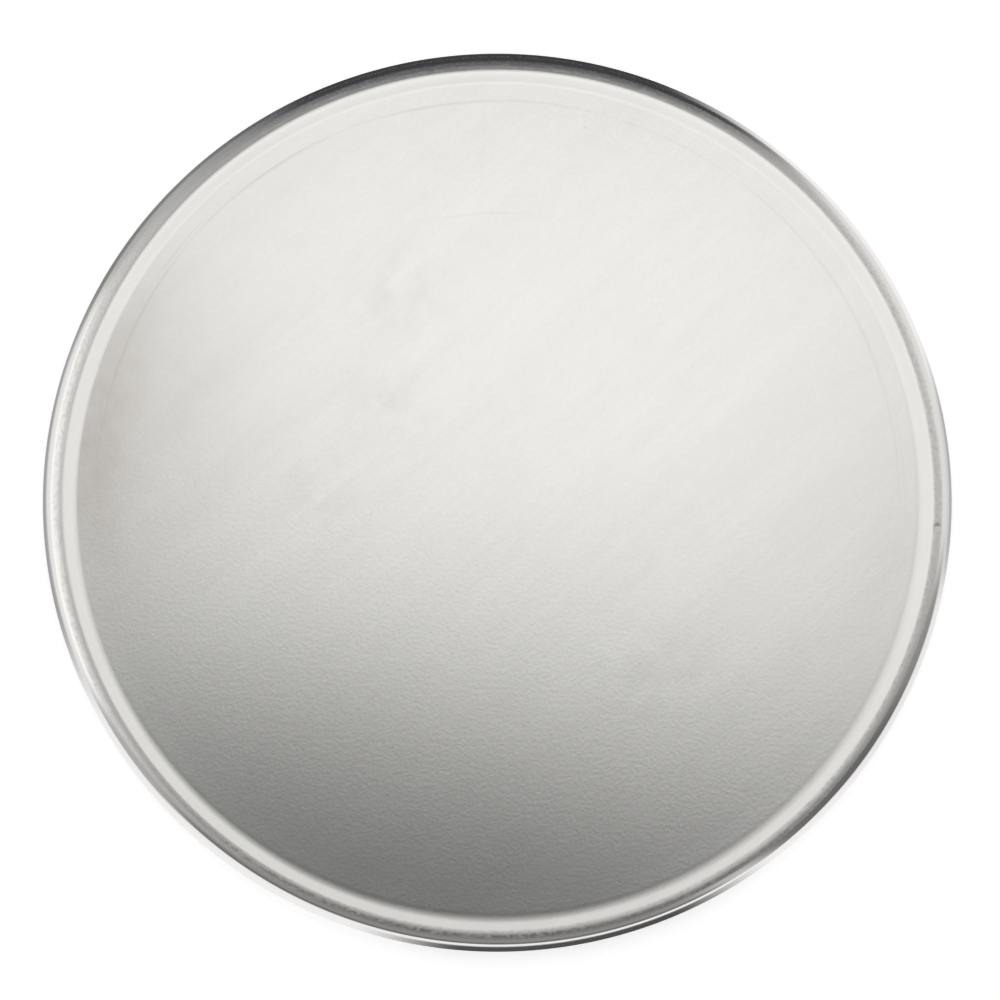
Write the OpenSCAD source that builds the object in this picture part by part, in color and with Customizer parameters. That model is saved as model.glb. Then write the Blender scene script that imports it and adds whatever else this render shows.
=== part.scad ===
// A flat round pizza pan: one disc of aluminium sheet, pressed and spun. Its rim rises gently,
// rolls over and down, and closes round a steel wire in the bead that the pan stands on.
// The pan lies level with its axis on Z and the underside of its bead on Z = 0.
// The sheet has one thickness all the way: each bend turns both of its faces about one centre.

/* [Pan] */
// Outside diameter, across the rolled rim
pan_d = 304.8; // [220:0.1:420]
// Thickness of the aluminium sheet
sheet_t = 1.3; // [0.8:0.05:1.6]

/* [Floor] */
// Width of the floor's edge, between the faint line round the level floor and the fold
edge_w = 6; // [3:0.1:9]
// Slope of that edge, in degrees
edge_slope = 0.4; // [0.2:0.1:1]
// Radius of the soft break between the level floor and its edge
break_r = 30; // [10:1:60]

/* [Rim] */
// Width of the rim in plan, from the start of the fold to the outside
rim_w = 12.1; // [11:0.1:18]
// Radius of the shallow fold where the floor turns up into the flange
fold_r = 14; // [4:1:20]
// Slope of the flange that leads to the crest, in degrees
flange_slope = 9; // [4:1:12]
// Radius of the roll that turns over at the crest and falls, over the outside of the sheet
roll_r = 6.6; // [5.4:0.1:7]
// Turn of that roll from the crest to the side of the rim, in degrees
roll_turn = 80; // [60:1:88]
// Length of the straight side between the roll and the bead
side_l = 0.3; // [0.2:0.1:6]
// Diameter of the wire in the bead
wire_d = 4; // [2.4:0.1:4.4]
// Clearance between the wire and the sheet that is rolled round it
wire_play = 0.15; // [0.05:0.05:0.3]
// Turn of the sheet round the wire, in degrees
bead_turn = 215; // [190:5:230]
// Gap between the two ends of the wire, where the ring of wire closes
wire_butt_gap = 1.5; // [0.5:0.1:4]

/* [Hidden] */
$fn = 180;

// Angle between neighbouring points on a bend of the sheet
bend_step = 5;

// The bead stands on Z = 0, and the side and the roll stand on it
bead_r = wire_d / 2 + wire_play + sheet_t;
bead_c = [pan_d / 2 - bead_r, bead_r];
side_turn = 90 - roll_turn;
side_foot = bead_c + bead_r * [cos(side_turn), sin(side_turn)];
side_head = side_foot + side_l * [-sin(side_turn), cos(side_turn)];
roll_c = side_head - roll_r * [cos(side_turn), sin(side_turn)];

// The flange falls from the roll to the fold, and the floor's edge from the fold to the break
flange_head = roll_c + roll_r * [-sin(flange_slope), cos(flange_slope)];
fold_x = pan_d / 2 - rim_w;
flange_foot_x = fold_x + fold_r * (sin(flange_slope) - sin(edge_slope));
flange_foot_z = flange_head.y - (flange_head.x - flange_foot_x) * tan(flange_slope);
fold_c = [flange_foot_x, flange_foot_z] + fold_r * [-sin(flange_slope), cos(flange_slope)];
fold_z = fold_c.y - fold_r * cos(edge_slope);
break_x = fold_x - edge_w;
floor_z = fold_z - (edge_w - break_r * sin(edge_slope)) * tan(edge_slope)
    - break_r * (1 - cos(edge_slope));
break_c = [break_x, floor_z + break_r];

// Points round a centre, from one angle to another
function bend(centre, r, from, to) =
    let (steps = ceil(abs(to - from) / bend_step))
    [for (i = [0 : steps]) centre + r * [cos(from + (to - from) * i / steps),
                                         sin(from + (to - from) * i / steps)]];

function backwards(points) = [for (i = [len(points) - 1 : -1 : 0]) points[i]];

// One face of the sheet from the axis to the cut edge. depth is 0 on the upper face and
// sheet_t on the lower one, so a bend to the left gains it and a bend to the right loses it.
function face_line(depth) = concat(
    [[0, floor_z - depth]],
    bend(break_c, break_r + depth, 270, 270 + edge_slope),
    bend(fold_c, fold_r + depth, 270 + edge_slope, 270 + flange_slope),
    bend(roll_c, roll_r - depth, 90 + flange_slope, 90 - roll_turn),
    bend(bead_c, bead_r - depth, 90 - roll_turn, 90 - roll_turn - bead_turn)
);

module pan() {
    color([0.82, 0.82, 0.80])
        rotate_extrude()
            polygon(concat(face_line(0), backwards(face_line(sheet_t))));
}

module rim_wire() {
    butt_turn = 2 * asin(wire_butt_gap / 2 / bead_c.x);
    color([0.50, 0.51, 0.52])
        rotate([0, 0, butt_turn / 2])
            rotate_extrude(angle = 360 - butt_turn)
                translate(bead_c)
                    circle(r = wire_d / 2);
}

pan();
rim_wire();
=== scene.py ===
import math
import bpy
from mathutils import Matrix, Vector


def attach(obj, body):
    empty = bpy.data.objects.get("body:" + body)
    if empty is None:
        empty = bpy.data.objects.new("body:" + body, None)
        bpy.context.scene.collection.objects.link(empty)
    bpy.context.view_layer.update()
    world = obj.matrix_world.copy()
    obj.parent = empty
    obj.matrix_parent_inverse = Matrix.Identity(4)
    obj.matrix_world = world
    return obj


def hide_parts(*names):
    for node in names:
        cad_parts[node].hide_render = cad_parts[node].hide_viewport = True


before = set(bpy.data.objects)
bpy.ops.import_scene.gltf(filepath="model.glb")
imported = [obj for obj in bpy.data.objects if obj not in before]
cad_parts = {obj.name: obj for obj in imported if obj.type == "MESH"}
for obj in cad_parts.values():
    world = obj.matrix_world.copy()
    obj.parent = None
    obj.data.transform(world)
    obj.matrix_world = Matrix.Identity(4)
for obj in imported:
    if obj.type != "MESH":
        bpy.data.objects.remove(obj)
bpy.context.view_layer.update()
mm = 0.001


# Shader and geometry maths as plain Python expressions
class Signal:
    def __init__(self, tree, socket=None):
        self.tree, self.socket = tree, socket

    # any node: its type, then its settings, then the values or links of its sockets
    def node(self, kind, settings=None, values=None, out=0):
        made = self.tree.nodes.new(kind)
        for name, value in (settings or {}).items():
            setattr(made, name, value)
        for name, value in (values or {}).items():
            if isinstance(value, Signal):
                self.tree.links.new(value.socket, made.inputs[name])
            else:
                made.inputs[name].default_value = value
        return Signal(self.tree, made.outputs[out])

    def maths(self, operation, *others):
        return self.node("ShaderNodeMath", {"operation": operation}, dict(enumerate((self,) + others)))

    def flipped(self, operation, other):
        return self.node("ShaderNodeMath", {"operation": operation}, {0: other, 1: self})

    def __add__(self, other): return self.maths("ADD", other)
    def __radd__(self, other): return self.flipped("ADD", other)
    def __sub__(self, other): return self.maths("SUBTRACT", other)
    def __rsub__(self, other): return self.flipped("SUBTRACT", other)
    def __mul__(self, other): return self.maths("MULTIPLY", other)
    def __rmul__(self, other): return self.flipped("MULTIPLY", other)
    def __truediv__(self, other): return self.maths("DIVIDE", other)

    # 0 below low, 1 above high, soft between
    def rise(self, low, high):
        return self.node("ShaderNodeMapRange", {"interpolation_type": "SMOOTHSTEP"},
                         {"Value": self, "From Min": low, "From Max": high})

    # 1 within half a width of a place, soft on both sides
    def band(self, place, half, soft):
        return 1 - (self - place).maths("ABSOLUTE").rise(half, half + soft)

    def parts(self):
        return [self.node("ShaderNodeSeparateXYZ", None, {"Vector": self}, out) for out in range(3)]

    def join(self, x, y, z=0.0):
        return self.node("ShaderNodeCombineXYZ", None, {"X": x, "Y": y, "Z": z})

    # noise on this vector
    def noise(self, scale=1.0, detail=2.0, rough=0.5):
        return self.node("ShaderNodeTexNoise", {"noise_dimensions": "3D"},
                         {"Vector": self, "Scale": scale, "Detail": detail, "Roughness": rough})

    # one colour into another by a factor
    def blend(self, under, over, share):
        return self.node("ShaderNodeMix", {"data_type": "RGBA"}, {0: share, 6: under, 7: over}, out=2)


# The distance from the axis, and the compass angle in degrees
def distance(x, y):
    return (x * x + y * y).maths("SQRT")


def compass(x, y):
    return y.maths("ARCTAN2", x) * (180 / math.pi)


# 1 at a spot, fading to 0 at its reach
def patch(x, y, spotX, spotY, reach):
    return 1 - distance(x - spotX, y - spotY).rise(0, reach)


# The camera, at the photograph's place; focal and frame are in pixels, sensor in millimetres
view = {"distance": 1.209, "lean": 9.0, "towards": 270.0, "focal": 3594.0, "frame": 1000.0,
        "sensor": 36.0, "shiftX": 0.0027, "shiftY": -0.0043, "near": 0.05, "far": 50.0}


def placeCamera(size):
    lens = bpy.data.cameras.new("camera")
    lens.sensor_width = size["sensor"]
    lens.lens = size["sensor"] * size["focal"] / size["frame"]
    lens.shift_x, lens.shift_y = size["shiftX"], size["shiftY"]
    lens.clip_start, lens.clip_end = size["near"], size["far"]
    camera = bpy.data.objects.new("camera", lens)
    lean, towards = math.radians(size["lean"]), math.radians(size["towards"])
    back = Vector((math.sin(lean) * math.cos(towards), math.sin(lean) * math.sin(towards), math.cos(lean)))
    right = Vector((0, 1, 0)).cross(back).normalized()
    turn = Matrix((right, back.cross(right), back)).transposed().to_4x4()
    camera.matrix_world = Matrix.Translation(back * size["distance"]) @ turn
    bpy.context.scene.collection.objects.link(camera)
    bpy.context.scene.camera = camera


placeCamera(view)
print("camera placed")

# The pan, in millimetres and degrees: the sheet's section, spun round the axis. The crest lies off
# the axis by crestShift. That eases in over crestFrom and out over crestTo, both counted outwards
# from the rim's start, and it fades out downwards over crestHeight
pan = {"across": 304.8, "sheet": 1.3, "edgeWidth": 6.0, "edgeSlope": 0.4, "breakRadius": 30.0,
       "rimWidth": 12.1, "foldRadius": 14.0, "flangeSlope": 9.0, "rollRadius": 6.6, "rollTurn": 80.0,
       "sideLength": 0.3, "wire": 4.0, "wirePlay": 0.15, "beadTurn": 215.0,
       "floorRings": (0, 0.02, 0.05, 0.1, 0.2, 0.35, 0.5, 0.65, 0.8, 0.92),
       "softStep": 0.5, "rollStep": 2.5, "beadStep": 7.0, "roundSteps": 360, "mergeWithin": 0.002,
       "waveShare": 0.012, "waveScale": 1.6, "waveWidth": 5.0, "seed": 4,
       "crestShift": (0.5, -1.2, 0.0), "crestFrom": (-3.0, 4.5), "crestTo": (8.0, 12.1),
       "crestHeight": (5.0, 7.6)}


def bend(centre, radius, start, end, step):
    steps = max(1, math.ceil(abs(end - start) / step))
    turns = [math.radians(start + (end - start) * i / steps) for i in range(steps + 1)]
    return [(centre[0] + radius * math.cos(a), centre[1] + radius * math.sin(a)) for a in turns]


# The floor's height, and the sheet's bends as centre, radius of the upper face, start and end
# angle, side and step: side is 1 for a bend that opens upwards, -1 for one that closes over the rim
def sheetBends(size):
    roll, fold, soft = size["rollRadius"], size["foldRadius"], size["breakRadius"]
    bead = size["wire"] / 2 + size["wirePlay"] + size["sheet"]
    flange, edge, side = (math.radians(size[name]) for name in ("flangeSlope", "edgeSlope", "rollTurn"))
    beadCentre = (size["across"] / 2 - bead, bead)
    rollCentre = (beadCentre[0] + (bead - roll) * math.sin(side) - size["sideLength"] * math.cos(side),
                  beadCentre[1] + (bead - roll) * math.cos(side) + size["sideLength"] * math.sin(side))
    headX, headZ = rollCentre[0] - roll * math.sin(flange), rollCentre[1] + roll * math.cos(flange)
    foldAt = size["across"] / 2 - size["rimWidth"]
    footX = foldAt + fold * (math.sin(flange) - math.sin(edge))
    footZ = headZ - (headX - footX) * math.tan(flange)
    foldCentre = (footX - fold * math.sin(flange), footZ + fold * math.cos(flange))
    floor = (foldCentre[1] - fold * math.cos(edge)
             - (size["edgeWidth"] - soft * math.sin(edge)) * math.tan(edge) - soft * (1 - math.cos(edge)))
    breakCentre = (foldAt - size["edgeWidth"], floor + soft)
    rollEnds = 90 - size["rollTurn"]
    return floor, [(breakCentre, soft, 270, 270 + size["edgeSlope"], 1, size["softStep"]),
                   (foldCentre, fold, 270 + size["edgeSlope"], 270 + size["flangeSlope"], 1, size["softStep"]),
                   (rollCentre, roll, 90 + size["flangeSlope"], rollEnds, -1, size["rollStep"]),
                   (beadCentre, bead, rollEnds, rollEnds - size["beadTurn"], -1, size["beadStep"])]


# One face of the sheet, from the axis to the cut edge; depth is 0 on the upper face
def faceLine(size, depth):
    floor, bends = sheetBends(size)
    flat = bends[0][0][0]
    line = [(flat * share, floor - depth) for share in size["floorRings"]]
    for centre, radius, start, end, side, step in bends:
        points = bend(centre, radius + side * depth, start, end, step)
        line += points if math.dist(points[0], line[-1]) > 1e-6 else points[1:]
    return line


# The section carries "run", the way walked along the sheet from the axis; it falls below zero
# on the lower face, so a finish can tell the two faces apart
def sectionMesh(size):
    upper, lower = faceLine(size, 0), faceLine(size, size["sheet"])[::-1]
    points = upper + lower
    top = max(points, key=lambda p: p[1])
    print("outside %.2f, top %.2f at %.2f, low %.2f" % (max(p[0] for p in points), top[1], top[0],
                                                        min(p[1] for p in points)))
    mesh = bpy.data.meshes.new("panSection")
    mesh.from_pydata([(x * mm, 0, z * mm) for x, z in points],
                     [(i, i + 1) for i in range(len(points) - 1)], [])
    run, far = [0.0], 0.0
    for a, b in zip(upper, upper[1:]):
        far += math.dist(a, b)
        run.append(far * mm)
    back = -far
    run.append(back * mm)
    for a, b in zip(lower, lower[1:]):
        back += math.dist(a, b)
        run.append(back * mm)
    mesh.attributes.new("run", "FLOAT", "POINT").data.foreach_set("value", run)
    return mesh


# The tree spins the section: one grid row for each point of it, one column for each step round
def spinTree(size):
    tree = bpy.data.node_groups.new("spinSheet", "GeometryNodeTree")
    for name, kind in (("Section", "NodeSocketGeometry"), ("Steps Round", "NodeSocketInt"),
                       ("Wave Share", "NodeSocketFloat"), ("Rim Starts", "NodeSocketFloat"),
                       ("Crest Shift", "NodeSocketVector"), ("Seed", "NodeSocketFloat"),
                       ("Finish", "NodeSocketMaterial")):
        tree.interface.new_socket(name, in_out="INPUT", socket_type=kind)
    tree.interface.new_socket("Sheet", in_out="OUTPUT", socket_type="NodeSocketGeometry")
    base = Signal(tree)
    entry = tree.nodes.new("NodeGroupInput")
    given = {s.name: Signal(tree, s) for s in entry.outputs if s.name}
    section, start = given["Section"], given["Rim Starts"]

    # a bare grid, and the row and the column that each of its points stands in
    perRow = given["Steps Round"] + 1
    count = base.node("GeometryNodeAttributeDomainSize", {"component": "MESH"}, {"Geometry": section})
    grid = base.node("GeometryNodeMeshGrid", None, {"Vertices X": count, "Vertices Y": perRow})
    index = base.node("GeometryNodeInputIndex")
    row = (index / perRow + 0.0001).maths("FLOOR")
    column = index - row * perRow
    rowNumber = base.node("FunctionNodeFloatToInt", {"rounding_mode": "ROUND"}, {"Float": row})

    def ofSection(kind, value):
        return base.node("GeometryNodeSampleIndex", {"data_type": kind, "domain": "POINT"},
                         {"Geometry": section, "Value": value, "Index": rowNumber})

    radius, nought, height = ofSection("FLOAT_VECTOR", base.node("GeometryNodeInputPosition")).parts()
    runValue = base.node("GeometryNodeInputNamedAttribute", {"data_type": "FLOAT"}, {"Name": "run"})
    run = ofSection("FLOAT", runValue)

    # the spin, with the rim's slight wave and the crest's place off the axis
    angle = column * (2 * math.pi) / given["Steps Round"]
    cosine, sine = angle.maths("COSINE"), angle.maths("SINE")
    ripple = base.join(cosine, sine, given["Seed"]).noise(size["waveScale"], 2.0)
    sag = 1 - ripple * given["Wave Share"] * radius.rise(start, start + size["waveWidth"] * mm)

    def outwards(limits):
        return radius.rise(*[start + limit * mm for limit in limits])

    raised = height.rise(*[limit * mm for limit in size["crestHeight"]])
    loose = outwards(size["crestFrom"]) * (1 - outwards(size["crestTo"])) * raised
    aside, along, nought = given["Crest Shift"].parts()
    spot = base.join(radius * cosine + loose * aside, radius * sine + loose * along, height * sag)
    spun = base.node("GeometryNodeSetPosition", None, {"Geometry": grid, "Position": spot})
    named = base.node("GeometryNodeStoreNamedAttribute", {"data_type": "FLOAT", "domain": "POINT"},
                      {"Geometry": spun, "Name": "run", "Value": run})
    joined = base.node("GeometryNodeMergeByDistance", None,
                       {"Geometry": named, "Distance": size["mergeWithin"] * mm})
    smooth = base.node("GeometryNodeSetShadeSmooth", None, {"Geometry": joined})
    real = base.node("GeometryNodeRealizeInstances", None, {"Geometry": smooth})
    painted = base.node("GeometryNodeSetMaterial", None, {"Geometry": real, "Material": given["Finish"]})
    leave = tree.nodes.new("NodeGroupOutput")
    tree.links.new(painted.socket, leave.inputs[0])
    return tree


def runTree(name, mesh, tree, inputs):
    source = bpy.data.objects.new(name + "Source", mesh)
    bpy.context.scene.collection.objects.link(source)
    modifier = source.modifiers.new("tree", "NODES")
    modifier.node_group = tree
    for socket in tree.interface.items_tree:
        if socket.item_type == "SOCKET" and socket.in_out == "INPUT" and socket.name in inputs:
            modifier[socket.identifier] = inputs[socket.name]
    bpy.context.view_layer.update()
    ready = source.evaluated_get(bpy.context.evaluated_depsgraph_get())
    plain = bpy.data.meshes.new_from_object(ready)
    source.modifiers.remove(modifier)
    bpy.data.objects.remove(source)
    piece = bpy.data.objects.new(name, plain)
    bpy.context.scene.collection.objects.link(piece)
    return piece


# A material starts with an empty tree and ends with its output node
def newMaterial(name):
    material = bpy.data.materials.new(name)
    material.use_nodes = True
    material.node_tree.nodes.clear()
    return material, Signal(material.node_tree)


def finishMaterial(material, shader):
    leave = material.node_tree.nodes.new("ShaderNodeOutputMaterial")
    material.node_tree.links.new(shader.socket, leave.inputs["Surface"])
    return material


# The sheet's finish, in millimetres and degrees. Rolling lines cross the floor at rollingAngle, and
# fine, broad and mottle are their pitch along and across it, an offset and a detail. Smudges, the
# blush and the dent are x, y and reach, and a smudge has its strength too. Arcs and lines are a place,
# half the width and the soft edge; so is the trickle, counted from its x and y. Other pairs are where
# a change begins and ends. Tint is how much each mark colours, grit how much it roughens, and relief
# its height or depth
aluminium = {"clean": (0.915, 0.905, 0.87, 1), "worn": (0.70, 0.70, 0.69, 1), "under": (0.80, 0.80, 0.79, 1),
             "blush": (0.62, 0.575, 0.53, 1), "line": (0.58, 0.51, 0.44, 1),
             "floorRough": 0.294, "rimRough": 0.17, "underRough": 0.40,
             "floorEnd": (139.6, 141.0), "burnished": (145.2, 148.6), "rollingAngle": 41.5,
             "fine": (0.03, 0.9, 0.0, 3.0), "broad": (0.004, 0.07, 3.0, 2.0), "mottle": (0.09, 0.22, 9.0, 3.0),
             "beltFrom": (145.3, 146.3), "beltTo": (148.2, 148.9), "beltHeight": (5.0, 6.0),
             "smudges": [(-32.5, 68.0, 26, 0.5), (-36.0, 29.0, 22, 0.45), (-59.0, 0.5, 20, 0.4),
                         (52.0, -64.0, 34, 0.3)],
             "arc": (95.3, 0.15, 0.6), "arcOver": (91, 8, 12),
             "innerLine": (134.3, 0.15, 0.7), "outerLine": (135.9, 0.1, 0.5),
             "lineLeft": (128, 34, 22), "lineRight": (40, 26, 30),
             "trickleAt": (-5.0, 122.0), "trickleWide": (0.0, 0.4, 1.6), "trickleLong": (0, 8.0, 14),
             "speckPitch": 0.085, "speckSize": (0.018, 0.032),
             "blushAt": (-138.0, 20.0, 82), "blushEdge": (118, 136), "dentAt": (146.6, -12.0, 1.6),
             "tint": {"fine": 0.14, "broad": 0.14, "cloud": 0.25, "grain": 0.27, "mottle": 0.20,
                      "rings": 0.30, "belt": 0.22, "smudge": 0.10, "arc": 0.16, "trickle": 0.10,
                      "specks": 0.6, "overall": 0.12, "blush": 0.85, "line": 0.36},
             "grit": {"fine": 0.03, "broad": 0.02, "smudge": 0.06, "belt": 0.13, "speckle": 0.19},
             "relief": {"grain": 0.023, "rings": 0.0030, "speckle": 0.0008, "specks": 0.006,
                        "arc": 0.003, "line": 0.004, "dent": 0.25}}


def sheetMaterial(look):
    material, base = newMaterial("spunAluminium")
    place = base.node("ShaderNodeTexCoord", out="Object")
    x, y, z = [part / mm for part in place.parts()]
    millimetres = base.join(x, y, z)
    radius, angle = distance(x, y), compass(x, y)
    run = base.node("ShaderNodeAttribute", {"attribute_name": "run"}, out="Fac") / mm
    upper = run.rise(-1.0, 0.0)
    turn = math.radians(look["rollingAngle"])
    along, across = x * math.cos(turn) + y * math.sin(turn), y * math.cos(turn) - x * math.sin(turn)
    floor = 1 - radius.rise(*look["floorEnd"])

    # the mill's marks: fine and broad lines along the rolling direction, and a fine grain
    def rolled(alongPitch, acrossPitch, offset, detail):
        return base.join(along * alongPitch, across * acrossPitch, offset).noise(1.0, detail)

    fine, broad, mottle = rolled(*look["fine"]), rolled(*look["broad"]), rolled(*look["mottle"])
    grain = millimetres.noise(0.85, 1.5, 0.5)
    cloud = millimetres.noise(0.016, 3.0)

    # the lathe's marks on the rim: rings that keep one distance from the axis, and short scuffs
    rings = base.join(run * 2.6, run * 0.7, 7.0).noise(1.0, 3.0, 0.7)
    scuffs = base.join(run * 1.8, y.maths("ARCTAN2", x) * 9.0, 2.0).noise(1.0, 4.0, 0.7)

    # wear: a speckled belt just outside the crest, smudges and specks
    speckle = millimetres.noise(1.0, 3.0, 0.6).rise(0.38, 0.70)
    belt = (radius.rise(*look["beltFrom"]) * (1 - radius.rise(*look["beltTo"]))
            * upper * z.rise(*look["beltHeight"]))
    smudge = 0
    for spotX, spotY, reach, strength in look["smudges"]:
        smudge = patch(x, y, spotX, spotY, reach) * strength + smudge
    smudge = smudge * millimetres.noise(0.11, 3.0).rise(0.38, 0.62) * floor
    dots = base.node("ShaderNodeTexVoronoi", {"feature": "F1"},
                     {"Vector": millimetres, "Scale": look["speckPitch"]})
    specks = (1 - dots.rise(*look["speckSize"])) * floor

    # single marks: a turning mark, a trickle, the lines near the floor's edge, a dent and a stain
    turning = base.join(angle * 0.06, radius * 0.9, 5.0).noise(1.0, 2.0)
    arc = radius.band(*look["arc"]) * angle.band(*look["arcOver"]) * (0.3 + turning.rise(0.4, 0.6) * 0.7)
    trickleX, trickleY = look["trickleAt"]
    trickle = ((x - trickleX).band(*look["trickleWide"]) * (y - trickleY).band(*look["trickleLong"])
               * (0.3 + millimetres.noise(0.3, 3.0).rise(0.4, 0.6) * 0.7))
    inner = radius.band(*look["innerLine"]) * turning.rise(0.3, 0.7)
    outer = radius.band(*look["outerLine"]) * turning.rise(0.45, 0.75) * 0.7
    line = (inner + outer) * (angle.band(*look["lineLeft"]) + angle.band(*look["lineRight"]) * 0.45)
    dent = patch(x, y, *look["dentAt"])
    blush = patch(x, y, *look["blushAt"]) * floor
    blush = (blush * (0.5 + millimetres.noise(0.12, 3.0, 0.6) * 0.8)
             * (0.55 + radius.rise(*look["blushEdge"]) * 0.45))

    # noise lies round 0.5, so a tint of it both darkens and brightens
    tint, grit, relief = look["tint"], look["grit"], look["relief"]
    mark = ((fine - 0.5) * tint["fine"] + (broad - 0.5) * tint["broad"] + (cloud - 0.5) * tint["cloud"]
            + (grain - 0.5) * tint["grain"] + (mottle - 0.5) * tint["mottle"])
    wear = (mark * floor + (rings - 0.5) * tint["rings"] * (1 - floor) + belt * speckle * tint["belt"]
            + smudge * tint["smudge"] + arc * tint["arc"] + trickle * tint["trickle"]
            + specks * tint["specks"] + tint["overall"])
    wear = wear.maths("MAXIMUM", 0.0).maths("MINIMUM", 1.0)
    colour = base.blend(look["clean"], look["blush"], blush * tint["blush"])
    colour = base.blend(colour, look["worn"], wear)
    colour = base.blend(colour, look["line"], line * tint["line"])
    colour = base.blend(look["under"], colour, upper)
    colour = base.blend(colour, look["worn"], (1 - upper) * (fine * 0.5 + cloud * 0.5))

    rough = look["floorRough"] + (look["rimRough"] - look["floorRough"]) * radius.rise(*look["burnished"])
    rough = (rough + (fine - 0.5) * grit["fine"] + (broad - 0.5) * grit["broad"]
             + smudge * grit["smudge"] + belt * (grit["belt"] + speckle * grit["speckle"]))
    rough = rough * upper + (1 - upper) * (look["underRough"] + (cloud - 0.5) * 0.2 + (fine - 0.5) * 0.1)

    height = ((grain + fine * 0.1) * relief["grain"] * floor
              + (rings + scuffs * 0.5) * relief["rings"] * (1 - floor)
              + speckle * belt * relief["speckle"] - specks * relief["specks"] - arc * relief["arc"]
              - line * relief["line"] - dent * relief["dent"])
    normal = base.node("ShaderNodeBump", None, {"Strength": 1.0, "Distance": mm, "Height": height})
    shader = base.node("ShaderNodeBsdfPrincipled", None,
                       {"Base Color": colour, "Metallic": 1.0, "Roughness": rough, "Normal": normal})
    return finishMaterial(material, shader)


panPiece = runTree("pan", sectionMesh(pan), spinTree(pan),
                   {"Steps Round": pan["roundSteps"], "Wave Share": pan["waveShare"],
                    "Rim Starts": (pan["across"] / 2 - pan["rimWidth"]) * mm, "Seed": float(pan["seed"]),
                    "Crest Shift": [length * mm for length in pan["crestShift"]],
                    "Finish": sheetMaterial(aluminium)})
print("pan", len(panPiece.data.vertices), "points", len(panPiece.data.polygons), "faces",
      [slot.material.name for slot in panPiece.material_slots if slot.material])
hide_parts("pan")
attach(panPiece, "root")

# The wire keeps its CAD shape: drawn steel under a dull zinc coat. Drawn is the pitch of the drawing
# lines round the ring, outwards and upwards
zinc = {"bright": (0.62, 0.63, 0.64, 1), "dull": (0.34, 0.35, 0.36, 1), "rough": 0.42, "dullRough": 0.16,
        "drawn": (0.2, 2.0, 2.0), "bloom": (0.6, 4.0, 0.65), "drawnHeight": 0.01, "bloomHeight": 0.006}


def wireMaterial(look):
    material, base = newMaterial("zincWire")
    place = base.node("ShaderNodeTexCoord", out="Object")
    x, y, z = [part / mm for part in place.parts()]
    roundPitch, outPitch, upPitch = look["drawn"]
    drawn = base.join(compass(x, y) * roundPitch, distance(x, y) * outPitch, z * upPitch).noise(1.0, 3.0)
    bloom = base.join(x, y, z).noise(*look["bloom"])
    dulled = (drawn * 0.5 + bloom * 0.8).rise(0.45, 0.85)
    colour = base.blend(look["bright"], look["dull"], dulled)
    height = drawn * look["drawnHeight"] + bloom * look["bloomHeight"]
    normal = base.node("ShaderNodeBump", None, {"Strength": 1.0, "Distance": mm, "Height": height})
    shader = base.node("ShaderNodeBsdfPrincipled", None,
                       {"Base Color": colour, "Metallic": 1.0,
                        "Roughness": dulled * look["dullRough"] + look["rough"], "Normal": normal})
    return finishMaterial(material, shader)


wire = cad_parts["rim_wire"]
wire.data.materials.clear()
wire.data.materials.append(wireMaterial(zinc))
print("wire painted")

# The studio, in metres and degrees: one softbox over the pan with a black flag above it, grey cards
# round the pan, and the table. The ceiling is the flag's west, south, east and north edge
studio = {"keyAt": (0.016, 0.220, 0.7), "keySize": (0.526, 0.442), "keyTurn": -12.9, "keyLevel": 1.10,
          "ceiling": (-0.34, -0.35, 0.30, 0.62), "ceilingHeight": 0.705,
          "domeReach": 1.3, "domeLevel": 0.85, "cool": (1.0, 0.98, 1.10, 1), "coolOver": (92, 22, 14),
          "footReach": (0.1526, 0.9), "footHeight": 0.0002, "footLevel": 0.97, "foot": (1, 0.98, 1.02, 1),
          "table": (0.9, 0.9, 0.9, 1), "tableGlow": 0.50, "tableReach": 3, "tableHeight": -0.0002,
          "fill": 0.5}


def softbox(name, at, size, turn, level):
    lamp = bpy.data.lights.new(name, "AREA")
    lamp.shape = "RECTANGLE"
    lamp.size, lamp.size_y = size
    lamp.energy = level * math.pi * size[0] * size[1]
    lamp.color = (1, 1, 1)
    holder = bpy.data.objects.new(name, lamp)
    holder.location = at
    holder.rotation_euler = (0, 0, math.radians(turn))
    holder.visible_camera = False
    bpy.context.scene.collection.objects.link(holder)


def stagePiece(name, points, faces, material):
    mesh = bpy.data.meshes.new(name)
    mesh.from_pydata(points, [], faces)
    mesh.materials.append(material)
    piece = bpy.data.objects.new(name, mesh)
    bpy.context.scene.collection.objects.link(piece)
    return piece


def flatPiece(name, west, south, east, north, height, material):
    corners = [(west, south, height), (east, south, height), (east, north, height), (west, north, height)]
    return stagePiece(name, corners, [(0, 1, 2, 3)], material)


# Seen in reflections only: it lights nothing and throws no shadow
def reflectionOnly(piece):
    piece.visible_camera = False
    piece.visible_diffuse = False
    piece.visible_shadow = False


def seenRay(base):
    rays = [base.node("ShaderNodeLightPath", out=name) for name in
            ("Is Camera Ray", "Is Glossy Ray", "Is Transmission Ray")]
    return rays[0].maths("MAXIMUM", rays[1]).maths("MAXIMUM", rays[2])


def emission(base, colour, strength):
    return base.node("ShaderNodeEmission", None, {"Color": colour, "Strength": strength})


def tableMaterial():
    material, base = newMaterial("paleTable")
    diffuse = base.node("ShaderNodeBsdfDiffuse", None, {"Color": studio["table"]})
    glow = emission(base, (1, 1, 1, 1), seenRay(base) * studio["tableGlow"])
    return finishMaterial(material, base.node("ShaderNodeAddShader", None, {0: diffuse, 1: glow}))


def flagMaterial(name, colour):
    material, base = newMaterial(name)
    return finishMaterial(material, emission(base, colour, 1.0))


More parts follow.
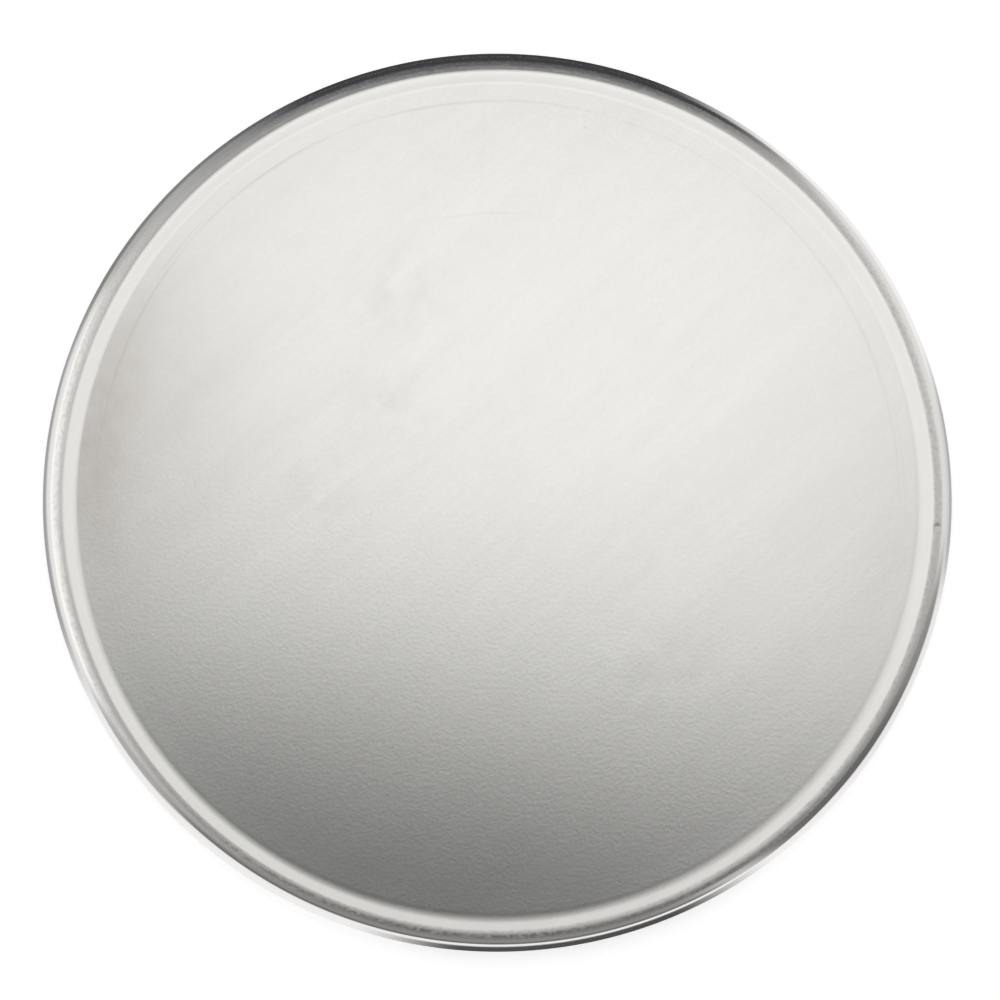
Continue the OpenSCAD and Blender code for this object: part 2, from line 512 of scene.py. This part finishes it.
# How much of a card that stands over one stretch of the compass is seen at an angle
def sector(angle, middle, half, soft):
    return ((angle - (middle - 180)).maths("FLOORED_MODULO", 360.0)).band(180, half, soft)


# Cards are their middle, half width and soft edge on the compass, and their level. Each in turn
# covers what lies under it
def layered(level, cards, angle):
    for middle, half, soft, shade in cards:
        level = level + (shade - level) * sector(angle, middle, half, soft)
    return level


# The cards round the pan: a dome whose level follows the compass and the degrees above the table
def domeMaterial():
    material, base = newMaterial("cardsRound")
    x, y, z = base.node("ShaderNodeTexCoord", out="Object").parts()
    angle, up = compass(x, y), z.maths("ARCTAN2", distance(x, y)) * (180 / math.pi)
    cards = [(175, 26, 12, 0.86 + up.band(32, 10, 8) * 0.24),
             (133, 8, 9, 0.46 + up.rise(10, 60) * 0.14),
             (20, 20, 20, 0.80 - up.rise(34, 58) * 0.24),
             (88, 24, 20, 0.05 + up.rise(10, 45) * 0.05 + up.rise(45, 70) * 0.04),
             (346, 8, 10, 0.28 + up.rise(56, 70) * 0.30),
             (326, 10, 10, 0.14 + up.rise(60, 70) * 0.34),
             (213, 9, 8, 0.44 + up.rise(45, 65) * 0.34),
             (262, 38, 10, 0.20 + up.band(46, 7, 6) * 0.07 - up.band(26, 5, 5) * 0.06
              + (1 - up.rise(8, 15)) * 0.75)]
    colour = base.blend((1, 1, 1, 1), studio["cool"], sector(angle, *studio["coolOver"]))
    return finishMaterial(material, emission(base, colour, layered(studio["domeLevel"], cards, angle)))


# The table close round the pan as the rim mirrors it, with the pan's own shade in it. Its level
# follows the compass and the millimetres off the pan
def footMaterial():
    material, base = newMaterial("footShade")
    x, y, z = base.node("ShaderNodeTexCoord", out="Object").parts()
    off = distance(x, y) / mm - pan["across"] / 2
    cards = [(172, 22, 16, 0.40 + off.rise(12, 60) * 0.4),
             (136, 12, 14, 0.24),
             (0, 10, 12, 0.48 + off.rise(6, 18) * 0.24),
             (336, 9, 10, 0.90 - off.rise(25, 60) * 0.72),
             (92, 22, 20, 0.055),
             (279, 13, 16, 0.08 + off.rise(9, 22) * 0.89)]
    level = layered(studio["footLevel"], cards, compass(x, y))
    return finishMaterial(material, emission(base, studio["foot"], level))


def dome(reach, columns=72, rows=18):
    points = [(reach * math.cos(r) * math.cos(c), reach * math.cos(r) * math.sin(c), reach * math.sin(r))
              for r in (0.5 * math.pi * j / rows for j in range(rows + 1))
              for c in (2 * math.pi * i / columns for i in range(columns))]
    faces = [(j * columns + i, j * columns + (i + 1) % columns, (j + 1) * columns + (i + 1) % columns,
              (j + 1) * columns + i) for j in range(rows) for i in range(columns)]
    return stagePiece("cardsRound", points, faces, domeMaterial())


# A ring that lies on the table round the pan
def lyingRing(name, reaches, height, material, steps=96):
    turns = [2 * math.pi * i / steps for i in range(steps)]
    points = [(reach * math.cos(a), reach * math.sin(a), height) for reach in reaches for a in turns]
    faces = [(i, (i + 1) % steps, steps + (i + 1) % steps, steps + i) for i in range(steps)]
    return stagePiece(name, points, faces, material)


softbox("keySoftbox", studio["keyAt"], studio["keySize"], studio["keyTurn"], studio["keyLevel"])
reflectionOnly(flatPiece("ceilingFlag", *studio["ceiling"], studio["ceilingHeight"],
                         flagMaterial("ceilingFlag", (0, 0, 0, 1))))
reflectionOnly(dome(studio["domeReach"]))
reflectionOnly(lyingRing("footShade", studio["footReach"], studio["footHeight"], footMaterial()))
far = studio["tableReach"]
flatPiece("table", -far, -far, far, far, studio["tableHeight"], tableMaterial())

world = bpy.data.worlds.new("studio")
bpy.context.scene.world = world
world.use_nodes = True
world.node_tree.nodes.clear()
sky = Signal(world.node_tree)
glow = sky.node("ShaderNodeBackground", None,
                {"Color": (1, 1, 1, 1), "Strength": seenRay(sky) * (1 - studio["fill"]) + studio["fill"]})
leave = world.node_tree.nodes.new("ShaderNodeOutputWorld")
world.node_tree.links.new(glow.socket, leave.inputs["Surface"])
bpy.context.scene.view_settings.view_transform = "Standard"
print("studio set")
